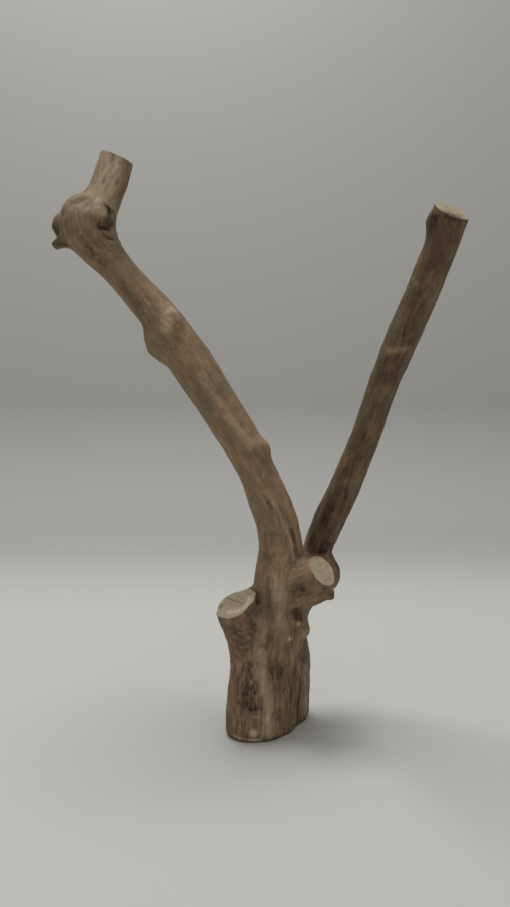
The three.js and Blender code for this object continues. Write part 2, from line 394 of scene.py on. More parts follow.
def saw_blocks():
    """All that the saw takes away, and the thin slits at the forks."""
    blocks = []
    for name, found in cuts.items():
        blocks += [saw_block(name, end, SAW_MARGIN, SAW_HEIGHT, CUT_CELL) for end in found]
    for name, end in (("trunk", left_fork), ("trunk", right_fork), ("crook", crook_fork)):
        blocks.append(saw_block(name, end, BLADE_MARGIN, BLADE, 2 * end["reach"]))
    points, faces, count = [], [], 0
    for block_points, block_faces in blocks:
        points.append(block_points)
        faces += [[corner + count for corner in face] for face in block_faces]
        count += len(block_points)
    return mesh_object("saw", np.concatenate(points), faces)


def sawn_apart():
    """Saws the skin, and gives its four closed pieces by the name of the node each one dresses."""
    saw = saw_blocks()
    cut = skin.modifiers.new("cut", "BOOLEAN")
    cut.object = saw
    cut.operation = "DIFFERENCE"
    cut.solver = "MANIFOLD"
    applied(skin)
    bpy.data.objects.remove(saw)
    bpy.ops.object.select_all(action="DESELECT")
    skin.select_set(True)
    bpy.context.view_layer.objects.active = skin
    bpy.ops.object.mode_set(mode="EDIT")
    bpy.ops.mesh.separate(type="LOOSE")
    bpy.ops.object.mode_set(mode="OBJECT")
    named = {}
    for made in list(bpy.context.selected_objects):
        middle = corners_of(made.data).mean(0)
        node = min(solids, key=lambda name: np.linalg.norm(solids[name][0].mean(0) - middle))
        made.name = made.data.name = node + "_wood"
        named[node] = made
    return named


pieces = sawn_apart()

# The trunk
# The butt of the branch, two limbs and two sawn stubs joined in one torn, fibrous lump. It is
# sapwood under the last of the inner bark, split by drying, and sawn flat at the foot and stubs.
SEAM_FADE = 8.0
RIM_WEAR, RIM_WIDTH = 0.5, 0.9
FOOT_WEAR, FOOT_WIDTH = 2.2, 3.0
SAW_MARK = 0.12
TINTS = ("rubbed", "dark", "pale", "red")
MARK_EDGE = 1.2
RELIEF_RAGGEDNESS = 0.4
SCRATCH_WIDTH, SCRATCH_LENGTH = 1.6, 14


def fading(off):
    """1 in the middle of a mark, falling softly to 0 past its edge."""
    return np.exp(-(np.maximum(off, 0) ** 2) * MARK_EDGE)


class Wear:
    """What a piece's own marks do to it: its height over the skin and its tints."""

    def __init__(self, node):
        self.node = node
        self.mesh = pieces[node].data
        self.points = corners_of(self.mesh)
        self.place = grain_at(self.points)
        self.face_place = np.zeros_like(self.points)
        self.way = normals_of(self.mesh)
        self.moved = np.zeros_like(self.points)
        self.height = np.zeros(len(self.points))
        self.sawn = np.zeros(len(self.points), bool)
        self.tints = {tint: np.zeros(len(self.points)) for tint in TINTS}
        self.cut_tints = {tint: np.zeros(len(self.points)) for tint in TINTS}
        self.ragged = 0.6 * noise(self.points / 5, 21) + 0.6 * fibres(self.place, 1.8, 10, 22)

    def corner_at(self, spot):
        """The corner of the skin that lies nearest to a spot."""
        return self.points[np.argmin(np.linalg.norm(self.points - spot, axis=1))]

    def distance(self, points):
        """How far each corner lies from a spot on the skin or from a line through several."""
        spots = [self.corner_at(np.array(point, float)) for point in points]
        nearest = np.linalg.norm(self.points - spots[0], axis=1)
        for a, b in zip(spots[:-1], spots[1:]):
            share = np.clip((self.points - a) @ (b - a) / ((b - a) @ (b - a)), 0, 1)
            away = self.points - a - share[:, None] * (b - a)
            nearest = np.minimum(nearest, np.linalg.norm(away, axis=1))
        return nearest

    def mark(self, *points, width, rise=0.0, ragged=0.5, on_cut=False, **tints):
        """A ridge, groove, knob, stain, painted shade or painted highlight of that width at a spot or
        along a line on the skin.
        """
        off = self.distance(points) / width
        torn = ragged * self.ragged
        self.height += rise * fading(off + RELIEF_RAGGEDNESS * torn)
        near = fading(off + torn)
        for tint, amount in tints.items():
            (self.cut_tints if on_cut else self.tints)[tint] += amount * near

    def ripple(self, spot, width, spacing, rise):
        """Wrinkles across the grain round a spot, such as bark leaves where it was squeezed."""
        near = np.exp(-((np.linalg.norm(self.points - spot, axis=1) / width) ** 2))
        bent = self.place[:, 2] + 3 * noise(self.points / 14, 23)
        self.height += rise * near * np.sin(bent * 2 * math.pi / spacing) * (0.5 + 0.5 * self.ragged)

    def lumps(self, spot, width, size, rise):
        """Warty growth round a spot."""
        near = np.exp(-((np.linalg.norm(self.points - spot, axis=1) / width) ** 4))
        self.height += rise * near * np.abs(noise(self.points / size, 25))

    def from_end(self, end):
        """The corners' offsets from a flat end, their depths over it, and which are near it."""
        away = self.points - end["at"]
        near = np.linalg.norm(away, axis=1) < end["reach"] + SAW_MARGIN * 2
        return away, away @ end["out"], near

    def saw_face(self, end):
        """Wears the rim of a cut and leaves the saw's scratches on it."""
        away, depth, near = self.from_end(end)
        out = end["out"]
        here = near & (np.abs(depth) < SAWN_WITHIN)
        self.sawn |= here
        wear, width = (FOOT_WEAR, FOOT_WIDTH) if end is foot else (RIM_WEAR, RIM_WIDTH)
        self.height -= np.where(near & ~here, wear * np.exp(-((depth / width) ** 2)), 0)
        self.way[here] = unit(self.way[here] - (self.way[here] @ out)[:, None] * out)
        flat = away - depth[:, None] * out
        self.moved[here] -= flat[here] * wear / end["radius"]
        side = unit(np.cross([0.3, 1, 0.1], out))
        self.face_place[here] = np.stack([flat @ side, flat @ np.cross(out, side), depth], 1)[here]
        scratches = noise(self.face_place[here] / [SCRATCH_WIDTH, SCRATCH_LENGTH, 1], 31)
        self.moved[here] += SAW_MARK * scratches[:, None] * out

    def close_seam(self, end):
        """Fades the marks out at a fork, where the next piece goes on."""
        _, depth, near = self.from_end(end)
        self.sawn |= near & (np.abs(depth) < BLADE * 2)
        self.height *= np.where(near, rising(0, SEAM_FADE, np.abs(depth)), 1)

    def work(self):
        """Works the marks into the mesh and hands them to the material."""
        for end in cuts[self.node]:
            self.saw_face(end)
        for end in forks[self.node]:
            self.close_seam(end)
        flat, inside = self.sawn_faces()
        self.height[inside] = 0
        place_corners(self.mesh, self.points + self.way * self.height[:, None] + self.moved)
        # How low each corner lies in the relief; the material darkens it there as painted shade.
        self.tints["hollow"] = -weathering(self.points, self.place) - self.height
        for tint, amount in self.tints.items():
            amount = np.where(inside, self.cut_tints.get(tint, 0), amount)
            self.store(tint, "FLOAT", np.clip(amount, 0, 2))
        self.store("grain", "FLOAT_VECTOR", self.place)
        self.store("face", "FLOAT_VECTOR", self.face_place)
        for polygon in self.mesh.polygons:
            polygon.use_smooth = True
        self.split(flat)

    def sawn_faces(self):
        """Which faces are sawn, and which corners belong to sawn faces alone."""
        counts = np.array([len(p.vertices) for p in self.mesh.polygons])
        corners = np.empty(counts.sum(), np.int32)
        self.mesh.loops.foreach_get("vertex_index", corners)
        starts = np.concatenate([[0], np.cumsum(counts)[:-1]])
        flat = np.logical_and.reduceat(self.sawn[corners], starts)
        skinned = np.zeros(len(self.points), bool)
        skinned[corners[np.repeat(~flat, counts)]] = True
        return flat, self.sawn & ~skinned

    def store(self, name, kind, values):
        layer = self.mesh.attributes.new(name, kind, "POINT")
        kind_of_value = "vector" if values.ndim > 1 else "value"
        layer.data.foreach_set(kind_of_value, values.astype(np.float32).ravel())

    def split(self, flat):
        """Gives the sawn faces the second material and a sharp rim."""
        self.mesh.polygons.foreach_set("material_index", flat.astype(np.int32))
        sides = {}
        for polygon, is_flat in zip(self.mesh.polygons, flat):
            for key in polygon.edge_keys:
                if self.sawn[key[0]] and self.sawn[key[1]]:
                    sides.setdefault(key, set()).add(bool(is_flat))
        sharp = np.zeros(len(self.mesh.edges), bool)
        for edge in self.mesh.edges:
            sharp[edge.index] = len(sides.get(edge.key, ())) == 2
        layer = self.mesh.attributes.get("sharp_edge")
        layer = layer or self.mesh.attributes.new("sharp_edge", "BOOLEAN", "EDGE")
        layer.data.foreach_set("value", sharp)
        self.mesh.update()


def colour(code):
    """An sRGB hex value as the linear colour that Blender works in."""
    parts = [int(code[k : k + 2], 16) / 255 for k in (1, 3, 5)]
    return [p / 12.92 if p <= 0.04045 else ((p + 0.055) / 1.055) ** 2.4 for p in parts] + [1.0]


def add(material, kind, inputs=None, output=0, **settings):
    """Adds one node with its settings and, for each input, a value or a link; gives an output."""
    made = material.node_tree.nodes.new("ShaderNode" + kind)
    for name, value in settings.items():
        setattr(made, name, value)
    for socket, value in (inputs or {}).items():
        if isinstance(value, bpy.types.NodeSocket):
            material.node_tree.links.new(value, made.inputs[socket])
        else:
            made.inputs[socket].default_value = value
    return made.outputs[output] if made.outputs else None


def new_material(name):
    """A material with no nodes yet."""
    made = bpy.data.materials.new(name)
    made.use_nodes = True
    made.node_tree.nodes.clear()
    return made


# The patches of grown wood, across and along its grain, and how a mark's colour takes to it:
# a part of it evenly and the rest in streaks, never hiding the wood altogether.
MOTTLE = (7, 15)
GREY_PATCH = (18, 42)
RED_PATCH = (12, 36)
EVEN_SHARE, MOST_TINT = 0.4, 0.92


def grown_wood(name, light, deep, grey, red, dark, pale, fibre, bump, hollow_shade, other=None):
    """Weathered wood as grown: soft fibres, grey and ruddy patches, its marks, painted shade in hollows.
    """
    made = new_material(name)
    grain = add(made, "Attribute", output="Vector", attribute_name="grain")
    noises = []
    for across, along, detail, start in (
        (fibre, fibre * 14, 3.0, 0.0),
        (fibre * 4, fibre * 34, 4.0, 0.0),
        (*MOTTLE, 4.0, 0.0),
        (*GREY_PATCH, 4.0, 7.3),
        (*RED_PATCH, 4.0, 3.1),
    ):
        inputs = {0: grain, 1: (1 / across, 1 / across, 1 / along), 2: (start, 0, start)}
        spot = add(made, "VectorMath", inputs, operation="MULTIPLY_ADD")
        inputs = {"Vector": spot, "Scale": 1.0, "Detail": detail, "Roughness": 0.58}
        noises.append(add(made, "TexNoise", inputs))
    strands, bands, mottle, grey_patches, red_patches = noises
    tone = relief = 0.0
    for value, weight in ((strands, 0.35), (bands, 0.35), (mottle, 0.3)):
        tone = add(made, "Math", {0: value, 1: weight, 2: tone}, operation="MULTIPLY_ADD")
    for value in (strands, bands):
        relief = add(made, "Math", {0: value, 1: 0.5, 2: relief}, operation="MULTIPLY_ADD")

    # From the bare wood up, each layer is a value, the span over which it shows, how much of it
    # shows at most, and its colour.
    layers = [(tone, 0.37, 0.63, 1.0, colour(light))]
    if other:
        sign, other_deep, other_light = other
        there = add(made, "Attribute", output="Fac", attribute_name=sign)
        there = add(made, "Math", {0: mottle, 1: 0.5, 2: there}, operation="MULTIPLY_ADD")
        inputs = {"Value": tone, "From Min": 0.37, "From Max": 0.63}
        share = add(made, "MapRange", inputs, interpolation_type="SMOOTHSTEP")
        inputs = {0: share, 6: colour(other_deep), 7: colour(other_light)}
        its_wood = add(made, "Mix", inputs, output=2, data_type="RGBA")
        layers.append((there, 0.5, 1.1, 1.0, its_wood))
    layers.append((grey_patches, 0.44, 0.66, 0.75, colour(grey)))
    layers.append((red_patches, 0.5, 0.72, 0.5, colour(red)))
    wood = colour(deep)
    for value, low, high, most, shade in layers:
        inputs = {"Value": value, "From Min": low, "From Max": high, "To Max": most}
        share = add(made, "MapRange", inputs, interpolation_type="SMOOTHSTEP")
        wood = add(made, "Mix", {0: share, 6: wood, 7: shade}, output=2, data_type="RGBA")

    # Its marks show most where the tone is like theirs, and painted shade darkens what lies low.
    for sign, shade, low in (("red", red, 0.66), ("pale", pale, 0.34), ("dark", dark, 0.66)):
        inputs = {"Value": tone, "From Min": low, "From Max": 1 - low, "To Min": EVEN_SHARE}
        share = add(made, "MapRange", inputs, interpolation_type="SMOOTHSTEP")
        there = add(made, "Attribute", output="Fac", attribute_name=sign)
        share = add(made, "Math", {0: there, 1: share}, operation="MULTIPLY")
        share = add(made, "Math", {0: share, 1: MOST_TINT}, operation="MINIMUM")
        inputs = {0: share, 6: wood, 7: colour(shade)}
        wood = add(made, "Mix", inputs, output=2, data_type="RGBA")
    # Painted shade: the lower a corner lies in the relief, the more of the dark colour it takes.
    hollow = add(made, "Attribute", output="Fac", attribute_name="hollow")
    inputs = {"Value": hollow, "From Min": 0.3, "From Max": 1.6, "To Max": hollow_shade}
    share = add(made, "MapRange", inputs, interpolation_type="SMOOTHSTEP")
    wood = add(made, "Mix", {0: share, 6: wood, 7: colour(dark)}, output=2, data_type="RGBA")

    inputs = {"Value": tone, "From Min": 0.35, "From Max": 0.65, "To Min": 0.88, "To Max": 0.74}
    rough = add(made, "MapRange", inputs)
    grooves = add(made, "Bump", {"Height": relief, "Distance": bump * MM, "Strength": 1.0})
    inputs = {"Base Color": wood, "Roughness": rough, "Normal": grooves, "Specular IOR Level": 0.3}
    add(made, "OutputMaterial", {"Surface": add(made, "BsdfPrincipled", inputs)})
    return made


# Sapwood end grain from a hand saw: pale and dull, its rings hardly seen. Sizes of its patterns
# are in millimetres.
RING_SPACING = 1.8
RING_WARP = 8.33
PORE = 0.91
DUST_PATCH = 7.14
SCRATCH = (1.11, 16.7)
CUT_LIGHT, CUT_DEEP, CUT_DUST = "#C4B49B", "#9D8B73", "#84735C"
CUT_TINTS = (("pale", "#D8C9AD"), ("red", "#8A6A4C"), ("dark", "#4A3C2E"))


def sawn_wood(name):
    """End grain as the saw left it: cream sapwood with faint rings, scratches and dust."""
    made = new_material(name)
    face = add(made, "Attribute", output="Vector", attribute_name="face")
    inputs = {"Vector": face, "Scale": 1 / RING_WARP, "Detail": 2.0}
    warp = add(made, "TexNoise", inputs, output="Color")
    bent = add(made, "VectorMath", {0: warp, 1: (3, 3, 0), 2: face}, operation="MULTIPLY_ADD")
    from_pith = add(made, "VectorMath", {0: bent}, output="Value", operation="LENGTH")
    turns = add(made, "Math", {0: from_pith, 1: 2 * math.pi / RING_SPACING}, operation="MULTIPLY")
    rings = add(made, "Math", {0: turns}, operation="SINE")
    pores = add(made, "TexNoise", {"Vector": face, "Scale": 1 / PORE, "Detail": 4.0})
    dust = add(made, "TexNoise", {"Vector": face, "Scale": 1 / DUST_PATCH, "Detail": 3.0})
    inputs = {0: face, 1: (1 / SCRATCH[0], 1 / SCRATCH[1], 1)}
    across_saw = add(made, "VectorMath", inputs, operation="MULTIPLY")
    scratches = add(made, "TexNoise", {"Vector": across_saw, "Scale": 1.0, "Detail": 3.0})
    tone = add(made, "Math", {0: rings, 1: 0.06, 2: pores}, operation="MULTIPLY_ADD")
    tone = add(made, "Math", {0: scratches, 1: 0.5, 2: tone}, operation="MULTIPLY_ADD")
    share = add(made, "MapRange", {"Value": tone, "From Min": 0.55, "From Max": 0.95})
    inputs = {0: share, 6: colour(CUT_DEEP), 7: colour(CUT_LIGHT)}
    wood = add(made, "Mix", inputs, output=2, data_type="RGBA")
    inputs = {"Value": dust, "From Min": 0.45, "From Max": 0.75, "To Max": 0.5}
    share = add(made, "MapRange", inputs)
    wood = add(made, "Mix", {0: share, 6: wood, 7: colour(CUT_DUST)}, output=2, data_type="RGBA")
    for tint, shade in CUT_TINTS:
        share = add(made, "Attribute", output="Fac", attribute_name=tint)
        wood = add(made, "Mix", {0: share, 6: wood, 7: colour(shade)}, output=2, data_type="RGBA")
    bump = add(made, "Bump", {"Height": tone, "Distance": 0.25 * MM})
    inputs = {"Base Color": wood, "Roughness": 0.85, "Normal": bump, "Specular IOR Level": 0.25}
    add(made, "OutputMaterial", {"Surface": add(made, "BsdfPrincipled", inputs)})
    return made


end_grain = sawn_wood("sapwood, hand-sawn across the grain")

# Sapwood under shreds of inner bark: brown, matt and stringy, with painted shade in its grooves,
# and light where it was rubbed below the left limb.
LIMB_LIGHT, LIMB_DEEP = "#A2876A", "#80674B"
trunk_wood = grown_wood(
    "sapwood and inner bark, split and weathered",
    light="#A68A6C",
    deep="#634D3A",
    grey="#6A5F4B",
    red="#60443A",
    dark="#2C211A",
    pale="#C9B195",
    fibre=0.9,
    bump=0.6,
    # How strong its painted shade in hollows is.
    hollow_shade=0.6,
    other=("rubbed", LIMB_DEEP, LIMB_LIGHT),
)


def dress(wear, wood):
    """Gives a worn piece its materials and sets it in the place of its node."""
    wear.mesh.materials.clear()
    wear.mesh.materials.append(wood)
    wear.mesh.materials.append(end_grain)
    wear.work()
    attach(pieces[wear.node], "root")
    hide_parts(wear.node)


trunk = Wear("trunk")
mark = trunk.mark
# Below the left limb the wood is rubbed light, down to a broad ridge between the stubs.
trunk.tints["rubbed"] += rising(105, 180, trunk.points[:, 2] + 14 * noise(trunk.points / 30, 27))
mark((-32, -28, 120), width=22, rubbed=-0.8)
mark(
    (9, -32, 165), (10, -34, 154), (11, -34, 140), (12, -29, 122), width=8, rise=1.8, rubbed=0.9, pale=0.5
)
mark((-7, -29, 128), (-7, -32, 108), width=5, rise=0.7, rubbed=0.5, pale=0.35)
mark((-14, -31, 126), width=5, rise=0.8, rubbed=0.3)
trunk.ripple((6, -18, 192), width=26, spacing=7.5, rise=0.4)
mark((-6, -13, 210), (4, -21, 215), (14, -24, 214), width=1.6, rise=-0.5, dark=0.3)
mark((-6, -12, 199), (5, -21, 204), (16, -24, 203), width=1.4, rise=-0.3, dark=0.2)
mark((-6, -13, 190), (4, -22, 193), (14, -26, 193), width=1.4, rise=-0.4, dark=0.25)
# The overgrown shoot's thin ridge comes down from the limb, ruddy and dark behind.
mark((18, -23, 219), (23, -22, 204), (26, -26, 189), width=1.8, rise=1.0, pale=0.55)
mark((24, -19, 219), (28, -19, 206), (32, -23, 193), width=3.5, rise=-1.0, dark=0.25, red=0.6)
# Hollows lie right of the broad ridge, darkened with painted shade, the lowest one rotted through to a
# pit.
mark((24, -32, 177), (27, -37, 164), (26, -36, 148), width=9, rise=-0.8, dark=0.1, red=0.2)
mark((31, -37, 175), (34, -41, 169), (34, -40, 163), width=3.5, rise=-0.3, dark=0.15, ragged=1.2)
mark((34, -40, 158), (46, -42, 156), (57, -40, 160), width=7, dark=0.4, ragged=0.9)
mark((40, -32, 186), (44, -38, 176), width=3, dark=0.3, ragged=0.9)
mark((20, -28, 138), (22, -25, 126), width=5, rise=-0.8, dark=0.2)
mark((29, -23, 134), (31, -21, 127), width=5, rise=-1.9, red=0.9, dark=0.3, ragged=0.8)
# A knob with two chipped spots sits over a hollow darkened with painted shade.
mark((36, -18, 114), width=10, rise=3.2, rubbed=0.6)
mark((31, -20, 121), width=1.8, rise=0.4, pale=2.0, ragged=0.2)
mark((23, -23, 107), width=2, rise=0.4, pale=2.0, ragged=0.2)
mark((12, -27, 114), (23, -22, 98), width=3.5, rise=0.6, pale=0.15)
mark((33, -13, 83), (40, 1, 75), (39, -2, 92), width=7, rise=-1.0, dark=0.45, ragged=0.8)
mark((37, -16, 103), width=5, rise=-1.2, dark=0.2)
# The right flank is brown with olive and ruddy streaks, one long crack and a lighter edge.
mark((4, -30, 112), (2, -29, 105), width=2, rise=-0.6, dark=0.35, red=0.3)
# Painted shade lies below the ridges.
mark((4, -29, 83), (11, -26, 72), width=9, rise=-0.6, dark=0.4, ragged=1.0)
mark((8, -28, 52), (14, -26, 22), width=8, dark=0.25, ragged=1.2)
mark((27, -18, 68), (31, -13, 61), width=6, rise=-0.4, red=0.6, dark=0.25, ragged=0.8)
mark((25, -20, 77), (29, -11, 35), (32, -1, 8), width=8, red=0.4)
mark((35, -2, 58), (35, -1, 42), (33, 0, 12), width=2.2, rise=-1.3, dark=0.6, ragged=0.6)
mark((24, -19, 57), (25, -17, 35), (25, -15, 12), width=1.8, rise=-1.0, dark=0.5, ragged=0.7)
mark((41, 5, 62), (41, 8, 38), (41, 11, 11), width=4, rise=0.5, pale=0.35)
# Creases part the left stub from the ridge and the limb, darkened with painted shade.
mark((-20, -8, 154), (-13, -20, 155), width=1.6, rise=-0.6, dark=0.9)
mark((-20, -8, 156), (-16, -7, 160), (-13, -9, 167), width=2, rise=-0.6, dark=0.5, ragged=0.8)
mark((-11, -22, 152), (-9, -24, 147), width=4, rise=-0.8, dark=0.55, ragged=0.8)
mark((-9, -25, 145), (-8, -27, 137), width=3.5, rise=-0.6, dark=0.3, ragged=1.0)
mark((-15, -24, 149), (-17, -28, 146), width=5, rise=2.2)
mark((-2, -28, 152), (0, -30, 145), width=2.6, rise=-0.4, dark=0.3, ragged=1.2)
mark((0, -30, 142), (3, -32, 136), (5, -33, 129), width=2.6, rise=-0.8, red=0.5, dark=0.25, ragged=1.0)
# The stub's underside is wrinkled across, and shreds of black bark hang on below it.
trunk.ripple((-31, -36, 112), width=20, spacing=6.5, rise=0.7)
mark((-37, -36, 123), (-28, -40, 120), (-19, -36, 121), width=1.6, rise=-0.7, dark=0.35, ragged=0.4)
mark((-34, -38, 117), (-26, -39, 114), (-20, -36, 116), width=2.2, rise=-0.7, dark=0.4, ragged=0.4)
mark((-36, -34, 109), (-27, -37, 106), (-18, -35, 109), width=1.8, rise=-0.7, dark=0.35, ragged=0.4)
mark((-34, -34, 101), (-26, -35, 98), (-17, -35, 101), width=1.8, rise=-0.6, dark=0.3, ragged=0.4)
mark((-38, -24, 52), (-40, -24, 20), width=4, dark=0.3)
mark((-22, -34, 76), (-18, -34, 57), (-18, -34, 34), width=10, dark=0.12, ragged=1.0)
mark((-20, -35, 83), (-18, -35, 72), (-19, -34, 60), (-20, -34, 48), width=5, dark=0.6, ragged=1.6)
mark((-11, -35, 66), (-12, -34, 56), width=2.4, rise=0.3, dark=0.6, ragged=1.0)
mark((-19, -34, 64), (-18, -34, 50), width=4, rise=0.5, dark=0.5, ragged=1.3)
mark((-27, -34, 42), (-17, -34, 36), (-7, -34, 38), width=4, rise=0.4, dark=0.65, ragged=1.4)
mark((-19, -34, 33), (-13, -34, 38), width=3.5, rise=0.4, dark=0.65, ragged=1.0)
mark((-18, -34, 29), (-9, -34, 28), width=1.2, rise=0.3, pale=0.5, ragged=0.8)
# A light strip runs down to the foot, where the edge is chipped and torn.
mark(
    (-7, -35, 94), (-5, -35, 68), (0, -33, 46), (0, -33, 30), (-1, -34, 12), width=6, rise=0.7, pale=0.8
)
mark((-14, -34, 11), width=3.6, rise=-0.4, pale=2.6, ragged=0.2)
mark((-9, -34, 8), width=2, rise=-0.6, dark=0.5)
mark((-34, -30, 5), (-25, -33, 4), width=2, pale=2.2, red=0.5, ragged=0.3)
mark((-21, -34, 3.5), (-8, -34, 3), width=1.5, pale=2.2, ragged=0.3)
mark((28, -9, 6), (39, 9, 2), width=1.6, rise=-1.0, pale=0.7, ragged=0.6)
mark((24, -16, 6), (33, 2, 7), width=2.4, rise=-1.0, dark=0.5, ragged=0.9)
# The front stub's lower lip is dark, and a stained collar with torn bark lies behind it.
mark((53, -46, 166), (64, -29, 154), width=5, rise=1.2, dark=0.4)
mark((62, -30, 153), width=5, rise=2.2, dark=0.15)
mark((77, 31, 171), (79, 24, 160), (76, 24, 149), width=8, dark=0.55, red=0.3)
mark(
    (54, 15, 200), (54, 17, 189), (67, 18, 194), (72, 32, 180), width=13, dark=0.55, red=0.5, rubbed=-1.2
)
mark((60, 22, 204), (58, 17, 198), width=13, dark=0.35, red=0.3, rubbed=-0.8)
mark((54, 17, 186), (62, 16, 187), width=2, rise=-0.8, dark=0.9)
# The left stub's cut is pale at its lower rim, and has split from its pith.
mark((-18, -21, 149), (-21, -32, 144), (-31, -36, 140), (-41, -32, 138), width=3, pale=0.7, on_cut=True)
mark((-36, -15, 144), (-28, -17, 146), width=9, dark=0.12, on_cut=True)
# Painted shade darkens the cut's tip where it meets the limb, standing in for the crease there.
mark((-13, -20, 155), width=2.5, dark=0.9, on_cut=True)
mark((-47, -17, 139), width=2.5, red=0.6, on_cut=True)
mark((-43, -6, 144), (-34, -17, 144), (-26, -25, 144), width=0.6, ragged=0.15, dark=0.8, on_cut=True)
mark((-34, -17, 144), (-28, -12, 148), width=0.5, ragged=0.15, dark=0.4, on_cut=True)
mark((48, -27, 193), (50, -24, 192), width=3, red=0.5, on_cut=True)
mark((59, -25, 184), width=1.8, dark=0.4, on_cut=True)
dress(trunk, trunk_wood)

# The left limb
# The thick limb that leans left, one stem without bark. It was rubbed smooth by weather and
# handling, with a branch scar, old knots and a ridge where a shoot was overgrown.
RUBBED_WOOD = {"light": LIMB_LIGHT, "deep": LIMB_DEEP, "grey": "#7B6D56", "red": "#80604A"}
RUBBED_WOOD |= {"fibre": 0.8, "bump": 0.25}
left_limb_wood = grown_wood(
    "sapwood without bark, rubbed smooth",
    **RUBBED_WOOD,
    dark="#43362A",
    pale="#C4AB8A",
    # How strong its painted shade in hollows is.
    hollow_shade=0.35,
)
left_limb = Wear("left_limb")
mark = left_limb.mark
# The branch scar is a light swirl with brown flecks and dull, wrinkled wood below it.
mark((-97, 0, 438), (-104, 1, 431), (-103, 5, 421), width=6, rise=0.9, pale=1.1, ragged=0.6)
mark((-90, 6, 434), (-96, 1, 429), width=5, rise=0.5, pale=0.9, ragged=0.6)
mark((-99, 0, 434), (-94, 2, 433), width=1.2, rise=-0.4, dark=0.4)
mark((-94, 3, 431), (-90, 5, 427), width=1.8, rise=-0.7, dark=0.55)
mark((-96, 3, 425), (-94, 5, 420), width=1.6, rise=-0.4, dark=0.35)
mark((-88, 14, 435), width=2, rise=-0.4, dark=0.6)
mark((-106, 7, 412), (-93, 3, 412), width=7, rise=-0.6, dark=0.25, ragged=0.9)
mark((-107, 8, 404), (-102, 6, 401), (-95, 3, 401), width=1.4, rise=-0.6, dark=0.35)
# A bulge swells out on the left, and the right side has weathered grey.
mark((-125, 19, 416), (-120, 18, 400), width=8, rise=1.2, pale=0.1)
mark((-81, 24, 425), (-66, 20, 406), (-51, 8, 378), width=7, dark=0.22, ragged=0.8)
mark((-93, 6, 382), (-84, 3, 369), width=3.5, red=0.9)
mark((-78, -1, 380), (-69, -2, 362), (-60, -3, 347), width=8, dark=0.14, ragged=1.6)
# A ridge with a painted highlight winds down the front to a knob, with a groove on its left and a
# hollow below darkened with painted shade.
mark((-68, -3, 374), (-46, -5, 341), (-28, -8, 314), (-18, -9, 303), width=4.5, rise=1.4, pale=0.5)
mark((-72, -2, 360), (-57, -4, 340), (-38, -7, 310), width=4, rise=-0.3, dark=0.12, ragged=1.2)
mark((-4, -3, 303), width=8, rise=2.2)
mark((-22, -5, 316), (-11, -6, 304), width=7, rise=0.5, pale=0.3)
mark((-13, -8, 297), (-5, -8, 290), width=6, rise=-1.2, dark=0.12, ragged=0.8)
mark((-6, -10, 282), (-12, -12, 270), width=5, rise=-0.5, dark=0.18, ragged=0.9)
# An old crack opens where the overgrown shoot's thin ridge starts.
mark((-5, -16, 253), (0, -18, 248), width=2.2, rise=-0.8, dark=0.4, ragged=1.0)
mark((1, -18, 246), (4, -19, 241), width=1.8, rise=-1.2, dark=0.7, ragged=0.7)
mark((5, -19, 246), (12, -20, 236), (17, -22, 222), width=1.8, rise=0.9, pale=0.45)
mark((13, -18, 240), (19, -18, 226), width=4, rise=-0.7, dark=0.2, red=0.4)
# The underside towards the crook is stained in long streaks and darkened with painted shade.
mark((-149, 20, 462), (-139, 17, 452), (-131, 15, 439), (-122, 13, 426), width=7, dark=0.5, ragged=0.8)
mark((-125, 13, 450), (-121, 13, 447), width=1.4, rise=0.3, pale=0.6)
mark((-101, 20, 378), (-71, 12, 336), (-39, 9, 285), width=8, dark=0.2)
mark((-88, 3, 398), (-83, 2, 380), width=6, pale=0.2)
# Behind, the stain of the right limb's collar reaches its foot.
mark((34, 16, 216), (30, 20, 222), width=9, dark=0.35, red=0.3)
dress(left_limb, left_limb_wood)

# The crook
# The burl at the limb's tip, gnarled wood grown round an old wound, with a broken spur and a
# short shoot that was sawn off square.
crook_wood = grown_wood(
    "burl and shoot wood without bark, rubbed smooth",
    **RUBBED_WOOD,
    dark="#352920",
    pale="#D6C0A3",
    # How strong its painted shade in hollows is.
    hollow_shade=0.5,
)
crook = Wear("crook")
mark = crook.mark
# The shoot is light wood with short brown flecks, and painted shade darkens its right side.
mark((-160, 18, 590), (-167, 22, 567), (-174, 20, 556), width=15, pale=1.1)
for fleck in (
    ((-155, 16, 595), (-158, 17, 588)),
    ((-157, 17, 601), (-153, 18, 600)),
    ((-166, 21, 575), (-168, 22, 568)),
    ((-163, 23, 567), (-166, 24, 562)),
    ((-153, 24, 573), (-154, 25, 568)),
    ((-173, 24, 580), (-174, 24, 575)),
):
    mark(*fleck, width=1.5, rise=-0.4, dark=0.45, ragged=0.6)
mark((-142, 26, 588), (-145, 33, 574), (-151, 35, 559), width=7, dark=0.65)
# The burl is lumpy, with a painted highlight on its brow and painted shade in the fold above it and
# below it, and grey where it hangs over on the left.
crook.lumps((-200, 38, 535), width=36, size=17, rise=2.4)
mark((-201, 25, 543), (-190, 22, 541), width=10, rise=0.8, pale=0.35)
mark((-203, 27, 549), (-199, 26, 549), (-188, 25, 552), width=4.5, rise=-1.2, dark=0.5, ragged=0.9)
mark((-217, 42, 544), (-220, 38, 536), width=4, rise=1.0, pale=0.15)
mark((-222, 38, 530), (-219, 38, 526), width=5, rise=0.8, dark=1.0)
mark((-211, 32, 542), (-214, 35, 530), width=2, rise=-1.4, dark=0.4)
mark((-220, 40, 522), width=3, rise=-1.5, dark=0.7)
mark((-206, 26, 522), (-190, 22, 516), (-178, 22, 512), width=12, dark=0.36, ragged=1.0)
mark((-224, 38, 513), (-219, 37, 512), (-213, 38, 512), width=6, dark=0.4, ragged=0.6)
mark((-216, 38, 509), (-209, 35, 508), width=2, rise=-0.5, dark=0.5, ragged=0.9)
mark((-229, 41, 511), (-224, 40, 512), width=6, dark=0.35)
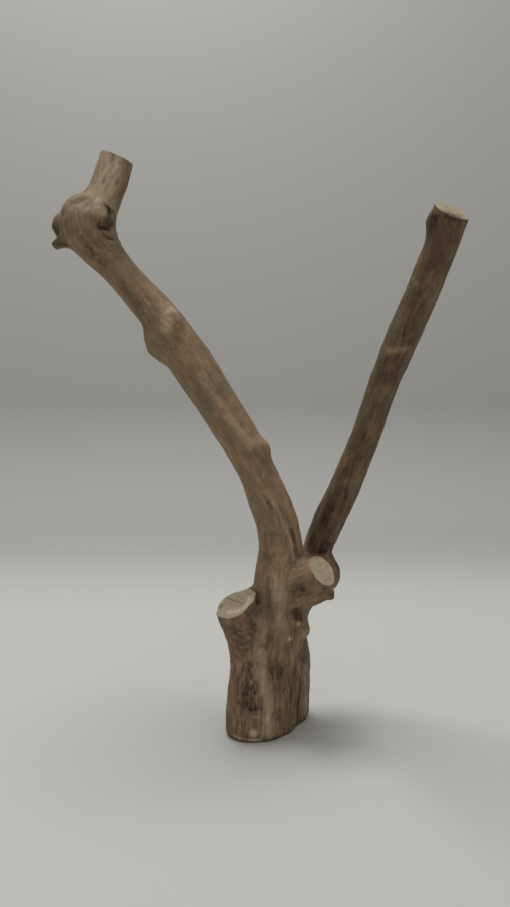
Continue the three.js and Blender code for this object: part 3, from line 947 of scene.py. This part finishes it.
# Rolled wood closes round the old wound: a light nose over a shaded pit, with broken folds.
mark((-171, 19, 540), (-167, 26, 539), width=4, rise=3.0, pale=0.5, ragged=0.3)
mark((-183, 20, 546), (-177, 17, 548), width=7, rise=-0.9)
mark((-166, 31, 532), width=9, rise=-1.8, dark=0.35, ragged=1.0)
mark((-168, 29, 528), (-164, 34, 533), (-163, 35, 540), width=3, rise=-0.5, dark=0.5, ragged=1.2)
mark((-166, 25, 548), (-164, 29, 546), (-163, 32, 542), width=2, rise=-1.5, dark=1.1, ragged=0.6)
mark((-163, 32, 545), (-160, 37, 543), (-160, 42, 537), width=1.3, rise=-0.9, dark=0.65, ragged=0.7)
mark((-163, 29, 549), (-160, 34, 548), (-158, 42, 543), width=1.6, rise=0.8, pale=0.3, ragged=0.6)
mark((-160, 42, 533), (-163, 36, 530), width=2, rise=-0.8, dark=0.8, ragged=0.7)
mark((-180, 21, 535), (-177, 23, 532), (-172, 26, 526), width=3, rise=-1.3, dark=0.65, ragged=0.7)
mark((-172, 26, 526), (-166, 31, 525), width=2.2, rise=-1.0, dark=0.75, ragged=0.7)
mark((-167, 29, 522), (-162, 35, 522), (-159, 46, 523), width=2, rise=1.0, pale=0.15)
mark(
    (-169, 27, 518), (-164, 28, 515), (-160, 32, 515), width=1.8, rise=-0.9, red=0.5, dark=0.6, ragged=0.6
)
mark((-163, 28, 512), (-156, 33, 511), (-154, 44, 514), width=1.6, rise=0.7, pale=0.15)
mark((-161, 28, 508), (-155, 35, 507), width=1.5, rise=-0.6, dark=0.35)
mark((-183, 25, 504), (-180, 26, 498), width=2.2, rise=-0.6, red=0.4, dark=0.6, ragged=0.9)
mark((-173, 26, 491), width=2.6, rise=-0.5, dark=0.75, ragged=0.9)
mark((-190, 25, 502), (-176, 25, 487), (-166, 26, 478), width=8, dark=0.35, ragged=0.7)
dress(crook, crook_wood)

# The right limb
# The thin limb that leans right and towards the viewer. Its wood is stained dark brown by the
# bark it lost last, with lighter streaks where it was rubbed.
right_limb_wood = grown_wood(
    "sapwood stained by its bark",
    light="#846D51",
    deep="#4E3C2F",
    grey="#655A43",
    red="#5E4238",
    dark="#2A1F19",
    pale="#A08867",
    fibre=0.9,
    bump=0.4,
    # How strong its painted shade in hollows is.
    hollow_shade=0.5,
)
right_limb = Wear("right_limb")
mark = right_limb.mark
# Light streaks, chipped spots and a light band where a side shoot was.
mark((105, -34, 358), (102, -27, 338), (99, -22, 320), width=5, pale=0.4, ragged=0.8)
mark((125, -59, 434), (121, -55, 416), width=5, pale=0.2, ragged=0.8)
mark((130, -63, 462), width=2.5, pale=1.0)
mark((132, -67, 457), width=2, pale=0.9)
mark((114, -48, 396), (121, -51, 397), (128, -52, 399), width=3.2, rise=1.2, pale=1.1, ragged=0.8)
mark((130, -55, 406), width=7, rise=-0.8, dark=0.9, ragged=0.8)
# Ruddy and dark streaks, a small pit in a rubbed patch, and the dark lower end.
mark((122, -46, 385), (120, -43, 376), (117, -38, 366), width=5, red=1.0, dark=0.3)
mark((149, -85, 488), (149, -85, 478), (144, -80, 470), width=6, red=0.8, dark=0.2)
mark((110, -43, 388), (106, -36, 365), (100, -27, 340), (92, -18, 315), width=4, dark=0.4, ragged=1.0)
mark((79, -6, 278), (70, 2, 251), (60, 9, 223), width=4.5, red=0.7, dark=0.25, ragged=0.9)
mark((84, -4, 266), (90, -4, 272), width=6, pale=0.4, ragged=0.8)
mark((81, -3, 255), (79, 0, 246), width=3, rise=-0.8, dark=0.5, ragged=0.8)
mark((68, 5, 234), (60, 12, 212), width=12, dark=0.35, red=0.3)
mark((66, 4, 248), (58, 10, 222), width=6, dark=0.25, red=0.5, ragged=0.9)
mark((106, -28, 345), (84, -8, 278), width=5, red=0.5, dark=0.2, ragged=1.2)
mark((136, -66, 448), (128, -54, 415), width=4, red=0.7, dark=0.3, ragged=1.2)
mark((150, -90, 499), (143, -80, 470), width=12, red=0.7, ragged=0.8)
mark((143, -87, 511), (141, -84, 505), width=6, dark=0.6)
# The sawn end is torn along its lower edge, and pale beside the tear.
mark((150, -95, 510), (158, -97, 506), (166, -94, 506), width=1.8, rise=-0.6, dark=0.7, ragged=1.0)
mark((143, -88, 511), (148, -92, 509), width=3, dark=0.8, ragged=0.8)
mark((146, -86, 520), (150, -84, 520), width=4, pale=0.35, on_cut=True)
mark((155, -90, 512), (163, -92, 510), width=5, dark=0.35, ragged=1.3, on_cut=True)
mark((149, -91, 512), (158, -95, 508), (166, -94, 507), width=3, dark=0.7, ragged=1.2, on_cut=True)
mark((157, -86, 516), width=14, dark=0.15, on_cut=True)
dress(right_limb, right_limb_wood)

# Floor, light and camera
# A sheet of pale paper lies under the branch and curves up well behind it, and a large soft lamp
# hangs above. Lengths in this section are in metres.
PAPER_HALF_WIDTH = 2.5
PAPER_FRONT = -1.5
BEND_START = 1.0
BEND_RADIUS = 0.30
PAPER_TOP = 1.8
BEND_STEPS = 24


def paper_sweep():
    """The sheet: flat, then a quarter of a circle, then upright."""
    profile = [(PAPER_FRONT, 0.0)]
    for k in range(BEND_STEPS + 1):
        angle = math.pi / 2 * k / BEND_STEPS
        forward, up = math.sin(angle), 1 - math.cos(angle)
        profile.append((BEND_START + BEND_RADIUS * forward, BEND_RADIUS * up))
    profile.append((BEND_START + BEND_RADIUS, PAPER_TOP))
    points = [(x, y, z) for x in (-PAPER_HALF_WIDTH, PAPER_HALF_WIDTH) for y, z in profile]
    count = len(profile)
    faces = [[k, k + count, k + count + 1, k + 1] for k in range(count - 1)]
    made = mesh_object("paper", np.array(points) / MM, faces)
    for polygon in made.data.polygons:
        polygon.use_smooth = True
    return made


# Uncoated paper: flat and even, with no gloss, and greyer well behind the branch, which is painted shade.
NEAR_PAPER, SHADED_PAPER = "#CFCEC9", "#B8B7B3"
SHADE_FROM, SHADE_TO = 0.35, 0.85


def paper_with_painted_shade(name):
    """Paper whose colour turns grey from one place to another behind the branch, as painted shade."""
    made = new_material(name)
    place = add(made, "TexCoord", output="Object")
    behind = add(made, "SeparateXYZ", {"Vector": place}, output="Y")
    inputs = {"Value": behind, "From Min": SHADE_FROM, "From Max": SHADE_TO}
    share = add(made, "MapRange", inputs, interpolation_type="SMOOTHSTEP")
    inputs = {0: share, 6: colour(NEAR_PAPER), 7: colour(SHADED_PAPER)}
    shade = add(made, "Mix", inputs, output=2, data_type="RGBA")
    inputs = {"Base Color": shade, "Roughness": 0.95, "Specular IOR Level": 0.1}
    add(made, "OutputMaterial", {"Surface": add(made, "BsdfPrincipled", inputs)})
    return made


sweep = paper_sweep()
sweep.data.materials.append(paper_with_painted_shade("uncoated pale paper, painted shade far behind"))

LAMP_PLACE = np.array([-0.4, 0.32, 2.7])
LAMP_TARGET = np.array([0.0, 0.0, 0.2])
LAMP_WIDTH = 1.1
LAMP_WATTS = 35
lamp = bpy.data.lights.new("ceiling lamp", "AREA")
lamp.shape = "DISK"
lamp.size = LAMP_WIDTH
lamp.energy = LAMP_WATTS
hung = bpy.data.objects.new("ceiling lamp", lamp)
hung.location = LAMP_PLACE
aim = unit(LAMP_TARGET - LAMP_PLACE)
hung.rotation_euler = (math.acos(-aim[2]), 0, math.atan2(-aim[0], aim[1]))
bpy.context.scene.collection.objects.link(hung)

ROOM_LIGHT = 0.395
room = bpy.data.worlds.new("room")
room.use_nodes = True
sky = room.node_tree.nodes["Background"]
sky.inputs["Color"].default_value = colour("#FFFFFF")
sky.inputs["Strength"].default_value = ROOM_LIGHT
bpy.context.scene.world = room
bpy.context.scene.view_settings.view_transform = "Standard"

CAMERA_PLACE = (-0.013, -0.720, 0.370)
CAMERA_TILT_DOWN = math.radians(6)
LENS_MM = 28
SENSOR_MM = 36
NEAREST_SEEN = 0.01
lens = bpy.data.cameras.new("camera")
lens.lens = LENS_MM
lens.sensor_width = SENSOR_MM
lens.clip_start = NEAREST_SEEN
camera = bpy.data.objects.new("camera", lens)
camera.location = CAMERA_PLACE
camera.rotation_euler = (math.pi / 2 - CAMERA_TILT_DOWN, 0, 0)
bpy.context.scene.collection.objects.link(camera)
bpy.context.scene.camera = camera
